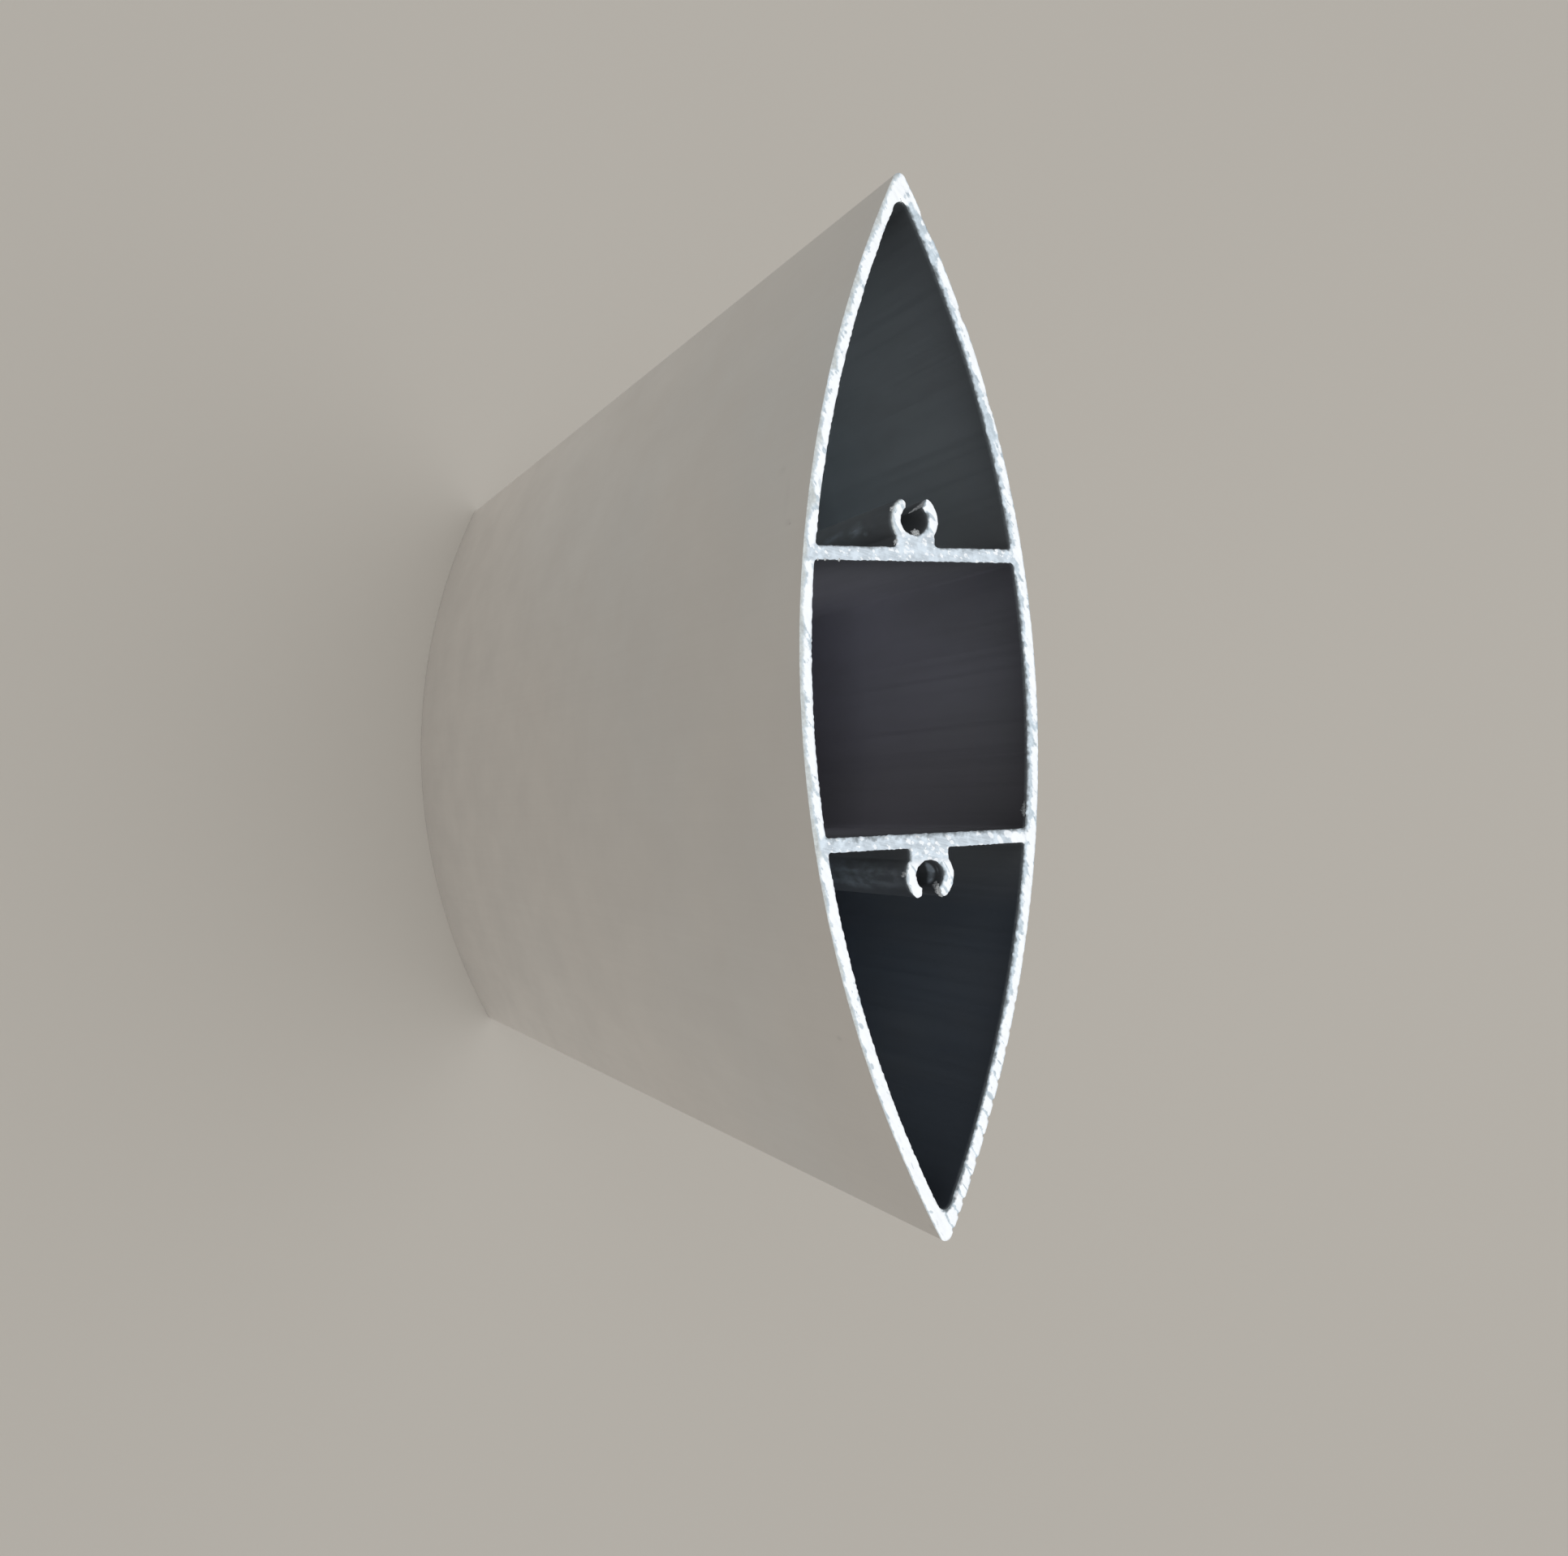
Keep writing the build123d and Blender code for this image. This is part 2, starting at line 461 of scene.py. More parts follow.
def layered(points, seed, *layers):
    """Noises put together, each given by its lumps' size in millimetres and its weight."""
    return sum(weight * noise(points, size * MM, seed + i) for i, (size, weight) in enumerate(layers))


def uneven_edges(across, pitch, unevenness, seed):
    """Each place's distance to the nearer end of its step, in a row of uneven steps along a line."""
    rng = np.random.default_rng(seed)
    start = across.min() - pitch
    count = int((across.max() - start) / (pitch * (1 - unevenness))) + 3
    edges = start + np.cumsum(pitch * (1 + unevenness * rng.uniform(-1, 1, count)))
    index = np.searchsorted(edges, across)
    return np.minimum(edges[index] - across, np.abs(across - edges[index - 1]))


def torn(points, cut, seed, coarse=1):
    """1 on the torn strips between two bites of the saw, 0 on the clean bites."""
    across = points @ np.array((np.sin(cut.direction), -np.cos(cut.direction)))
    wander = MM * layered(points, seed + 1, (3, 0.3), (0.6, 0.1))
    gap = uneven_edges(across + wander, cut.pitch * coarse, cut.unevenness, seed + 3)
    return np.clip(1.3 - gap / (cut.bite_gap * coarse), 0, 1)


def on_web(points, section):
    """1 on the webs and the ports' necks, 0 on the skins and the ports' arms, softly changing."""
    into_front_skin = 1.1 * MM
    front_fade, skin_fade, arm_fade = 0.7 * MM, 0.6 * MM, 0.9 * MM
    from_skin = below_skin(points, section) - section.skin_wall
    from_web = np.abs(np.abs(points[:, 0]) - section.web_centre) - section.web_wall / 2
    from_skin += into_front_skin * (points[:, 1] < 0) * np.clip(0.5 - from_web / front_fade, 0, 1)
    to_arms = section.port_centre - section.bore_radius - np.abs(points[:, 0])
    return np.clip(0.5 + from_skin / skin_fade, 0, 1) * np.clip(0.7 + to_arms / arm_fade, 0, 1)


def saw_relief(points, section, cut, seed):
    """Depth of the cut's marks below each point's highest place."""
    lumps = layered(points, seed + 3, (0.55, 1), (1.4, 0.6))
    across_web_marks = np.array((0.985, -0.17))
    wander = MM * layered(points, seed + 1, (2.6, 0.35))
    fine = uneven_edges(points @ across_web_marks + wander, cut.web_pitch, 0.5, seed + 5) / cut.web_pitch
    weight = on_web(points, section)
    lines = cut.web_depth * (1 - fine) * weight
    strips = 2 * cut.lump * torn(points, cut, seed) * (1 - weight)
    return cut.lump * (1.6 - lumps) + lines + strips


def dragged(away, cut):
    """How far each edge faces the way that the saw dragged the metal, from 0 to 1."""
    return np.clip(away @ (np.cos(cut.drag), np.sin(cut.drag)), 0, 1)


def rolled(away, points, cut, seed):
    """How strongly the saw rolled the edge over."""
    return np.clip(dragged(away, cut) * (0.85 + 0.45 * noise(points, 0.9 * MM, seed)), 0, 1)


def ragged(points, is_hole, cut, seed):
    """An outline's points at the cut itself, nibbled inwards or hung with small burrs."""
    away = away_from_metal(points)
    rough = layered(points, seed, (0.36, 1), (1.3, 0.5))
    if is_hole:
        reach = cut.burr * np.clip(rough - 0.35, -0.8, 1)
    else:
        reach = -cut.nibble * np.clip(rough + 0.1, 0, 1)
        nose_reach = 35 * MM
        by_nose = np.clip(np.abs(points[:, 0]) / nose_reach - 0.7, 0.1, 1) * np.clip(away[:, 1], 0, 1)
        reach -= cut.nick * by_nose * torn(points, cut, seed)
    return points + away * reach[:, None]


def along_chord(points, *steps):
    """A value for each point from pairs of a place along the chord, in millimetres, and the value there."""
    return np.interp(points[:, 0] / MM, *zip(*steps))


def smeared(points, border, away, section, cut, seed):
    """How grey each point of the cut is, most on borders that the saw dragged over, and how dark with
    painted shade it is beside inner edges that face the same way.
    """
    outer = below_skin(border, section) < 0.5 * section.skin_wall
    on_port = from_bore(border, section) < section.bore_radius + 1.3 * section.port_wall
    width = np.where(outer, cut.outer_smear, np.where(on_port, cut.port_smear, cut.inner_smear))
    full_drag, least_facing = 0.6, 0.3
    facing = np.clip(dragged(away, cut) / full_drag, 0, 1)
    front = np.flatnonzero(facing > least_facing)
    _, found, distance = nearest_of(points, border[front])
    nearest = front[found]
    back_half = points[:, 1] > 0

    by_skin = along_chord(
        points, (-75, 0.8), (-50, 1), (-25, 1), (-15, 0.75), (15, 0.75), (50, 0.42), (75, 0.18)
    )
    by_chamber = along_chord(points, (-25, 1), (-15, 0.75), (15, 0.7), (40, 0.75), (55, 0.35))
    fade = np.where(outer[nearest], by_skin, by_chamber)
    smear = np.clip(1 - distance / (width[nearest] * fade), 0, 1) * facing[nearest]
    gaps = layered(points, seed + 20, (3.4, 1), (1.3, 0.5))
    gaps += 1.6 * torn(points, cut, seed + 30, cut.coarse)
    gap_weight, calm_end, calm_share = 0.26, 45 * MM, 0.4
    smear += gap_weight * gaps * np.where(points[:, 0] > calm_end, calm_share, 1)

    by_nose = along_chord(points, (35, 0.15), (60, 1.0)) * back_half
    strips = by_nose * np.clip(1.6 * torn(points, cut, seed) - 0.75, 0, 1)
    on_arm = from_bore(points, section) < section.bore_radius + section.port_wall
    arm_strength, rim_strength = 0.62, 0.64
    arm_strips = arm_strength * on_arm * torn(points, cut, seed + 9)
    strips = np.maximum(strips, arm_strips) * (1 - on_web(points, section))

    rim_width = cut.rim * np.where(back_half, along_chord(points, (15, 2.3), (45, 1)), 1)
    rim = rim_strength * np.clip(1 - below_skin(points, section) / rim_width, 0, 1)

    # Painted shade: a dark border along inner edges facing the drag, wider by the webs and towards the +X
    # nose
    by_web = np.abs(border[nearest, 0] - section.web_centre) < 0.6 * section.web_wall
    widen = np.where(by_web, 2.1, along_chord(points, (40, 1), (55, 1.4)))
    shade_width = cut.edge_shade * widen * (1 + 0.5 * noise(points, 0.9 * MM, seed + 22))
    dark = np.clip(1 - distance / shade_width, 0, 1) * facing[nearest] * ~outer[nearest]
    return np.column_stack((np.maximum.reduce((smear, strips, rim)), dark))


def grid(box_x, box_y, spacing, seed):
    """Points of a triangular grid, each moved a little off its place."""
    rows = np.arange(-box_y, box_y, spacing * sqrt(3) / 2)
    columns = np.arange(-box_x, box_x, spacing)
    x, y = np.meshgrid(columns, rows)
    x[1::2] += spacing / 2
    points = np.column_stack((x.ravel(), y.ravel()))
    jitter = 0.22 * spacing
    return points + jitter * np.random.default_rng(seed).uniform(-1, 1, points.shape)


def inside_count(points, loops):
    """How many outlines each point lies in."""
    total = np.zeros(len(points), int)
    batch = 2000
    for loop in loops:
        start, end = loop, np.roll(loop, -1, 0)
        for first in range(0, len(points), batch):
            part = points[first : first + batch]
            above = (start[:, 1] > part[:, None, 1]) != (end[:, 1] > part[:, None, 1])
            rise = np.where(end[:, 1] == start[:, 1], 1, end[:, 1] - start[:, 1])
            x = start[:, 0] + (part[:, None, 1] - start[:, 1]) * (end[:, 0] - start[:, 0]) / rise
            total[first : first + batch] += (above & (part[:, None, 0] < x)).sum(1) % 2
    return total


def cut_face(section, cut, loops, grain, seed):
    """One sawn end: points in the plane, their depths, triangles, and each point's smear and shade."""
    edges = [ragged(loop, i > 0, cut, seed) for i, loop in enumerate(loops)]
    border = joined(*edges)
    away = joined(*map(away_from_metal, loops))

    candidates = grid(section.chord / 2, section.thickness / 2, grain, seed + 50)
    near_skin = below_skin(candidates, section)
    from_web = np.abs(np.abs(candidates[:, 0]) - section.web_centre)
    margin, nose_length = 1 * MM, 6 * MM
    likely = (near_skin > 0) & (
        (near_skin < section.skin_wall + margin)
        | (from_web < section.web_wall / 2 + margin)
        | (from_bore(candidates, section) < section.bore_radius + section.port_wall + margin)
        | (np.abs(candidates[:, 0]) > section.chord / 2 - nose_length)
    )
    candidates = candidates[likely]
    places, nearest, gap = nearest_of(candidates, border)
    side = ((candidates - places) * away[nearest]).sum(1)
    clearance = 0.55 * grain
    inside = (side < 0) & (gap > clearance)
    unsure = inside & (gap <= cut.edge_step)
    inside[unsure] = inside_count(candidates[unsure], edges) == 1
    points = joined(border, candidates[inside])

    fill_outlines, weld = 1, 1e-7
    lines = []
    for here, there in numbered(edges):
        lines += zip(here.tolist(), there.tolist())
    made = delaunay_2d_cdt([Vector(p) for p in points / MM], lines, [], fill_outlines, weld)
    if len(made[0]) != len(points):
        raise RuntimeError("the sawn edge crosses itself")
    original = np.array([ids[0] for ids in made[3]])
    triangles = original[np.array(made[2])]
    on_border = (triangles < len(border)).all(1)
    middle = points[triangles[on_border]].mean(1)
    keep = np.ones(len(triangles), bool)
    keep[on_border] = inside_count(middle, edges) == 1
    triangles = triangles[keep]

    nearest = joined(np.arange(len(border)), nearest[inside])
    gap = joined(np.zeros(len(border)), gap[inside])
    roll = rolled(away[nearest], points, cut, seed + 60)
    width = cut.edge_width + (cut.rolled_width - cut.edge_width) * roll
    fall = cut.edge_drop + (cut.rolled_drop - cut.edge_drop) * roll
    worn = np.clip(1 - gap / width, 0, 1)
    roundness, smoothed = 1.6, 0.6
    depth = fall * worn**roundness + saw_relief(points, section, cut, seed) * (1 - smoothed * worn)
    smear = smeared(points, border, away, section, cut, seed)
    return points, depth, triangles, smear


def blade_mesh(section, cut):
    """The whole extrusion as one closed mesh, with its faces sorted by finish."""
    skin_zone, chamber_zone, cut_zone = 0, 1, 2
    lower_marks = 1000
    # Rows below the cut: depth, and the share of the edge's unevenness
    below_cut = ((0.2 * MM, 0.4), (0.6 * MM, 0))
    loops = outlines(section, cut.edge_step)
    flat = joined(*loops)
    rows, caps = [], []
    for z, grain, order, seed in (
        (section.length, cut.upper_grain, 1, cut.seed),
        (0, cut.lower_grain, -1, cut.seed + lower_marks),
    ):
        xy, depth, triangles, smear = cut_face(section, cut, loops, grain, seed)
        off_line, edge_depth = xy[: len(flat)] - flat, depth[: len(flat)]
        side = [(xy, z - order * depth, smear)]
        for drop, follow in below_cut:
            side.append((flat + follow * off_line, z - order * (follow * edge_depth + drop), 0))
        rows += side[::order]
        caps.append(triangles[:, ::order])
    starts = np.cumsum([0] + [len(xy) for xy, _, _ in rows])
    vertices = joined(*(np.column_stack((xy, z)) for xy, z, _ in rows))
    smear, dark = joined(*(np.broadcast_to(smear, (len(xy), 2)) for xy, _, smear in rows)).T

    faces = joined(caps[0], caps[1] + starts[-2]).tolist()
    zones = [cut_zone] * len(faces)
    for upper, lower in zip(starts, starts[1:-1]):
        for index, (here, there) in enumerate(numbered(loops)):
            faces += np.column_stack((upper + here, lower + here, lower + there, upper + there)).tolist()
            zones += [chamber_zone if index else skin_zone] * len(here)
    mesh = bpy.data.meshes.new(NODE)
    mesh.from_pydata(vertices.tolist(), [], faces)
    mesh.polygons.foreach_set("material_index", zones)
    mesh.polygons.foreach_set("use_smooth", [True] * len(faces))
    mesh.set_sharp_from_angle(angle=SHARP_ANGLE)
    shares = {WEB_SHARE: on_web(vertices, section), SMEAR_SHARE: smear, PAINTED_EDGE_SHADE: dark}
    for name, values in shares.items():
        mesh.attributes.new(name, "FLOAT", "POINT").data.foreach_set("value", values.astype(np.float32))
    return mesh


def scaled(parts, factor):
    """A colour made lighter or darker, or a place with its unit changed."""
    return tuple(part * factor for part in parts)


class Nodes:
    """Adds nodes to a material or a world in few words."""

    def __init__(self, owner):
        owner.use_nodes = True
        self.owner = owner
        self.tree = owner.node_tree

    def add(self, kind, inputs=(), **settings):
        """A node with its settings, and a value or a link for each input, by its name or number."""
        node = self.tree.nodes.new(kind)
        for name, value in settings.items():
            setattr(node, name, value)
        for name, value in dict(inputs).items():
            self.put(node.inputs[name], value)
        return node

    def put(self, socket, value):
        """Links an output to a socket, or sets the socket's value."""
        if isinstance(value, bpy.types.NodeSocket):
            self.tree.links.new(value, socket)
        else:
            socket.default_value = value


class Surface(Nodes):
    """A new material's nodes, for patterns in the object's own coordinates."""

    def __init__(self, name):
        super().__init__(bpy.data.materials.new(name))
        self.place = self.add("ShaderNodeTexCoord").outputs["Object"]

    def mapped(self, vector, **settings):
        """Coordinates stretched by Scale or turned by Rotation."""
        return self.add("ShaderNodeMapping", {"Vector": vector, **settings}).outputs[0]

    def axes(self, vector):
        """The three parts of a place or a colour."""
        return self.add("ShaderNodeSeparateXYZ", {"Vector": vector}).outputs

    def painted(self, name):
        """A share that the mesh's points hold."""
        return self.add("ShaderNodeAttribute", attribute_name=name).outputs["Fac"]

    def noise(self, vector, detail, **settings):
        """Noise from 0 to 1."""
        inputs = {"Vector": vector, "Scale": 1.0, "Detail": detail, **settings}
        return self.add("ShaderNodeTexNoise", inputs).outputs["Fac"]

    def cloud(self, scale, detail=3.0):
        """Noise from 0 to 1, with its scale given for each axis in lumps per metre."""
        return self.noise(self.mapped(self.place, Scale=scale), detail, Roughness=0.55)

    def drawn_out(self, direction, along, across):
        """Coordinates for lumps of a size, drawn out along a direction in the plane of the cut."""
        turned = self.mapped(self.place, Rotation=(0, 0, -direction))
        return self.mapped(turned, Scale=(1 / along, 1 / across, 10))

    def streaks(self, direction, along, across):
        """Noise from 0 to 1, drawn out the same way."""
        return self.noise(self.drawn_out(direction, along, across), 3.0)

    def flecks(self, direction, along, across, size, uneven):
        """Separate flecks drawn out the same way, 1 inside and 0 outside."""
        drawn = self.drawn_out(direction, along, across)
        cells = self.add("ShaderNodeTexVoronoi", {"Vector": drawn, "Scale": 1.0}, voronoi_dimensions="2D")
        chance = self.axes(cells.outputs["Color"])[0]
        reach = self.sum(self.sum(chance, size), uneven)
        return self.fit(self.sum(reach, cells.outputs["Distance"], "SUBTRACT"), 0, 0.13, 0, 1)

    def spot(self, centre, reach, turn=0.0):
        """1 at a place, falling to 0 at its reach along each axis; sizes in millimetres."""
        frame_of_spot = {
            "Vector": self.place,
            "Location": scaled(centre, MM),
            "Rotation": (0, 0, turn),
            "Scale": scaled(reach, MM),
        }
        ratio = self.add("ShaderNodeMapping", frame_of_spot, vector_type="TEXTURE").outputs[0]
        distance = self.add("ShaderNodeVectorMath", {0: ratio}, operation="LENGTH")
        fall = {"Value": distance.outputs["Value"], "To Min": 1.0, "To Max": 0.0}
        return self.add("ShaderNodeMapRange", fall, interpolation_type="SMOOTHSTEP").outputs[0]

    def fit(self, value, low, high, to_low, to_high):
        """Maps one range of a value to another, held at its ends."""
        ends = {"Value": value, "From Min": low, "From Max": high, "To Min": to_low, "To Max": to_high}
        return self.add("ShaderNodeMapRange", ends).outputs[0]

    def sum(self, first, second, how="ADD"):
        """Two values put together."""
        return self.add("ShaderNodeMath", {0: first, 1: second}, operation=how).outputs[0]

    def times(self, first, second):
        """Two values multiplied."""
        return self.sum(first, second, "MULTIPLY")

    def size_of(self, value):
        """A value without its sign."""
        return self.sum(value, 0.0, "ABSOLUTE")

    def blend(self, share_of_second, first, second):
        """One colour changing to another."""
        node = self.add("ShaderNodeMix", {0: share_of_second}, data_type="RGBA")
        for socket, value in zip(node.inputs[6:8], (first, second)):
            self.put(socket, value if isinstance(value, bpy.types.NodeSocket) else (*value, 1))
        return node.outputs[2]

    def bump(self, height, reach):
        """A surface normal from a height, with its reach in metres."""
        return self.add("ShaderNodeBump", {"Height": height, "Distance": reach}).outputs[0]

    def finish(self, **inputs):
        """Sets the shader's sockets, with _ for a space in their names."""
        shader = self.tree.nodes["Principled BSDF"]
        for name, value in inputs.items():
            self.put(shader.inputs[name.replace("_", " ")], value)
        return self.owner


def skin_material(finish):
    """Satin mill finish with die lines almost too faint to see, a few scuffs and one painted shadow line;
    its broad soft cooler blotches are a painted reflection, and it is painted lighter towards the lower
    end.
    """
    n = Surface("skin_mill_finish")
    tone = finish.skin
    x, _, z = n.axes(n.place)
    fine_lines = n.cloud((2600, 2600, 5), detail=2)
    broad_lines = n.cloud((420, 420, 1.2), detail=2)
    blotches = n.cloud((17, 17, 11), detail=2)
    clouds = n.cloud((70, 70, 45))
    lines = n.sum(n.fit(fine_lines, 0.3, 0.7, -0.5, 0.5), n.fit(broad_lines, 0.3, 0.7, -0.5, 0.5))
    # Painted reflection: cooler blotches, and the skin cooler towards -X
    cool_reflection = n.sum(n.fit(x, -80 * MM, 30 * MM, 0.9, 0), n.fit(blotches, 0.35, 0.65, -0.3, 0.4))
    tint = n.blend(n.fit(cool_reflection, 0, 1, 0, 1), tone, finish.skin_cool_reflection)
    # Painted light: the skin is lighter towards the lower end
    tint = n.blend(n.fit(z, 40 * MM, 260 * MM, 1, 0), tint, scaled(tone, 1.12))
    tint = n.blend(n.fit(clouds, 0.3, 0.7, 0, 0.5), tint, scaled(tone, 0.95))
    tint = n.blend(n.fit(lines, -0.7, 0.7, 0, 0.04), tint, scaled(tone, 0.80))
    # Scuffs, and one painted shadow line
    for place, reach, strength in SKIN_SCUFFS_AND_SHADE:
        tint = n.blend(n.times(n.spot(place, reach), strength), tint, finish.mark)
    rough = n.fit(n.sum(clouds, n.times(lines, 0.1)), 0.3, 0.7, 0, 1)
    rough = n.fit(rough, 0, 1, finish.skin_roughness - 0.03, finish.skin_roughness + 0.04)
    return n.finish(Base_Color=tint, Metallic=0.75, Roughness=rough, Normal=n.bump(lines, 0.6e-6))


def chamber_material(finish):
    """Dark walls inside with painted light and shade: each chamber has its own colour for how lit it looks,
    the walls are painted darker near each cut and lighter beyond the webs, and pale patches lie here and
    there, on and in the +X port painted light and a painted reflection.
    """
    n = Surface("chamber_walls")
    x, _, z = n.axes(n.place)
    web_inside, web_outside, web_glow = 19 * MM, 21 * MM, 10 * MM
    haze, painted_light, mouth_grey, black = (0.5, 0.51, 0.52), (0.90, 0.93, 0.95), (0.32, 0.35, 0.36), (0, 0, 0)
    depth = n.sum(z, n.sum(high_corner.z, z, "SUBTRACT"), "MINIMUM")
    # Painted shade: the middle chamber is darker towards +X
    dimmer = np.multiply(finish.middle_chamber, (0.80, 0.78, 0.75))
    middle = n.blend(n.fit(x, -5 * MM, 12 * MM, 0, 1), finish.middle_chamber, dimmer)
    # Painted light and shade: each chamber's own colour
    tint = n.blend(n.fit(x, -web_outside, -web_inside, 0, 1), finish.upper_chamber, middle)
    tint = n.blend(n.fit(x, web_inside, web_outside, 0, 1), tint, finish.lower_chamber)
    lines = n.cloud((900, 900, 3), detail=2)
    clouds = n.cloud((120, 120, 30))
    tint = n.blend(n.fit(clouds, 0.4, 0.75, 0, 0.35), tint, haze)
    from_middle = n.size_of(x)
    # Painted light: walls just beyond each web are lighter
    by_web = n.fit(from_middle, web_outside, web_outside + web_glow, 0.9, 0)
    by_web = n.times(by_web, n.fit(from_middle, 19.5 * MM, 20.5 * MM, 0, 1))
    tint = n.blend(by_web, tint, painted_light)
    # Painted shade: walls darkest at each cut, fading to none at the shade depth
    mouth_shade = n.fit(depth, 0, finish.shade_depth, 1 - finish.brightness_at_mouth, 0)
    tint = n.blend(mouth_shade, tint, black)
    # A patchy grey band in the first millimetre below each cut, over the painted shade
    patchy = n.fit(n.cloud((1500, 1500, 700)), 0.3, 0.7, 0.4, 1)
    mouth_band = n.times(n.fit(depth, 0.1 * MM, 1.0 * MM, 0.8, 0), patchy)
    tint = n.blend(mouth_band, tint, mouth_grey)
    specks = n.fit(n.cloud((900, 900, 250)), 0.4, 0.65, 0.2, 1)
    # Pale patches, some of them painted light and a painted reflection
    for place, reach, strength in PALE_PATCHES:
        dust = n.times(n.spot(place, reach), specks)
        tint = n.blend(n.times(dust, strength), tint, finish.dust)
    rough = n.fit(clouds, 0.3, 0.7, finish.chamber_roughness - 0.05, finish.chamber_roughness + 0.09)
    return n.finish(Base_Color=tint, Specular_IOR_Level=0.3, Roughness=rough, Normal=n.bump(lines, 1.2e-6))


def cut_material(finish, direction):
    """Fresh saw cut: bright metal with grey smears and mottled dull webs, painted shade on the inner edges
    and a painted floor reflection on the smear's front edge.
    """
    n = Surface("saw_cut")
    tone = finish.cut
    web, smear, edge = n.painted(WEB_SHARE), n.painted(SMEAR_SHARE), n.painted(PAINTED_EDGE_SHADE)
    strokes = n.streaks(direction, 1.7 * MM, 0.42 * MM)
    patches = n.cloud((1050, 1050, 10), detail=2)
    grains = n.cloud((2600, 2600, 10), detail=1)
    ragged_smear = smear
    for pattern, low, by in ((strokes, 0.25, 0.27), (patches, 0.25, 0.3), (grains, 0.3, 0.06)):
        ragged_smear = n.sum(ragged_smear, n.fit(pattern, low, 1 - low, -by, by))
    grey = n.fit(ragged_smear, 0.40, 0.60, 0, 1)
    mottled = n.sum(n.fit(patches, 0.38, 0.68, 0, 0.6), n.fit(strokes, 0.38, 0.68, 0, 0.5))
    grey_tint = n.blend(mottled, scaled(finish.smear, 1.4), scaled(finish.smear, 0.95))
    tint = n.blend(grey, tone, grey_tint)
    grainy = n.sum(n.fit(grains, 0.3, 0.7, 0, 0.5), n.fit(patches, 0.3, 0.7, 0, 0.5))
    # Painted reflection: the smear's edge is warm on the front half, standing for the floor, and cool on
    # the back half
    sideways = n.axes(n.place)[1]
    back = n.fit(sideways, -MM, MM, 0, 1)
    light_edge = n.blend(back, scaled(finish.floor_reflection_edge, 1.22), scaled(finish.smear, 1.25))
    dull_edge = n.blend(back, scaled(finish.floor_reflection_edge, 0.8), scaled(finish.smear, 0.9))
    edge_tint = n.blend(grainy, light_edge, dull_edge)
    tint = n.blend(n.fit(smear, 0.5, 0.9, 0, 0.9), tint, edge_tint)

    across_web = radians(75)
    web_lines = n.streaks(across_web, 2.5 * MM, 0.2 * MM)
    web_clouds = n.cloud((700, 700, 10))
    by_port = n.fit(n.size_of(sideways), 3.5 * MM, 7 * MM, -0.42, -0.56)
    uneven = n.sum(n.fit(grains, 0.25, 0.75, -0.26, 0.26), n.fit(strokes, 0.25, 0.75, -0.3, 0.3))
    flecks = n.flecks(2 * direction, 1.05 * MM, 0.6 * MM, by_port, uneven)
    flecks = n.times(flecks, n.fit(patches, 0.35, 0.6, 0.65, 1))
    web_tint = n.blend(n.fit(web_lines, 0.35, 0.65, 0, 1), scaled(finish.web_cut, 0.80), finish.web_cut)
    web_tint = n.blend(n.fit(web_clouds, 0.42, 0.62, 0, 0.8), web_tint, scaled(finish.web_cut, 1.22))
    web_tint = n.blend(flecks, web_tint, tone)
    tint = n.blend(web, tint, web_tint)
    # Painted shade on the inner edges
    shaded_edge = n.sum(edge, n.fit(patches, 0.3, 0.7, -0.3, 0.3))
    tint = n.blend(n.fit(shaded_edge, 0.3, 0.9, 0, 0.9), tint, finish.inner_edge_shade)
    for marks, colour_of_mark in ((GREY_MARKS, finish.smear), (BRIGHT_MARKS, finish.cut)):
        for x, y, along, across, turn, strength in marks:
            spot = n.spot((x, y, high_corner.z / MM), (along, across, 2), radians(turn))
            spot = n.fit(n.sum(spot, n.fit(patches, 0.25, 0.75, -0.2, 0.2)), 0.25, 0.45, 0, strength)
            tint = n.blend(spot, tint, colour_of_mark)
    rough = n.fit(strokes, 0.3, 0.7, finish.cut_roughness - 0.06, finish.cut_roughness + 0.12)
    return n.finish(Base_Color=tint, Metallic=1.0, Roughness=rough, Normal=n.bump(strokes, 30e-6))


def chip_material(finish):
    """Dusty torn metal: dull, with pale and brown specks."""
    n = Surface("chip")
    specks = n.cloud((5200, 5200, 5200))
    tone, grime = finish.chip, (0.07, 0.075, 0.08)
    tint = n.blend(n.fit(specks, 0.35, 0.65, 0, 1), scaled(tone, 0.55), scaled(tone, 1.35))
    tint = n.blend(n.painted(CHIP_DUST), tint, grime)
    rough = n.fit(specks, 0.3, 0.7, 0.45, 0.7)
    return n.finish(Base_Color=tint, Metallic=0.35, Roughness=rough, Normal=n.bump(specks, 80e-6))


def floor_material(studio):
    """Plain pale matt floor with a trace of unevenness."""
    n = Surface("floor_paint")
    tone = studio.floor
    clouds = n.cloud((3, 3, 3), detail=2)
    tint = n.blend(clouds, scaled(tone, 0.985), scaled(tone, 1.015))
    return n.finish(Base_Color=tint, Roughness=0.75, Specular_IOR_Level=0.2)


def put_in_scene(name, data):
    """A new object in the scene that holds the data."""
    made = bpy.data.objects.new(name, data)
    bpy.context.scene.collection.objects.link(made)
    return made


class LOUVRE_OT_blade(bpy.types.Operator):
    """Builds the extrusion with its skins, webs, screw ports and sawn ends"""

    bl_idname = "louvre.build_blade"
    bl_label = "Blade"

    def execute(self, context):
        scene = context.scene
        finish, cut = scene.blade_finish, scene.blade_saw_cut
        mesh = blade_mesh(scene.blade_section, cut)
        materials = (skin_material(finish), chamber_material(finish), cut_material(finish, cut.direction))
        for material in materials:
            mesh.materials.append(material)
        blade = put_in_scene("blade", mesh)
        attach(blade, BODY)
        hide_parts(NODE)
        return {"FINISHED"}


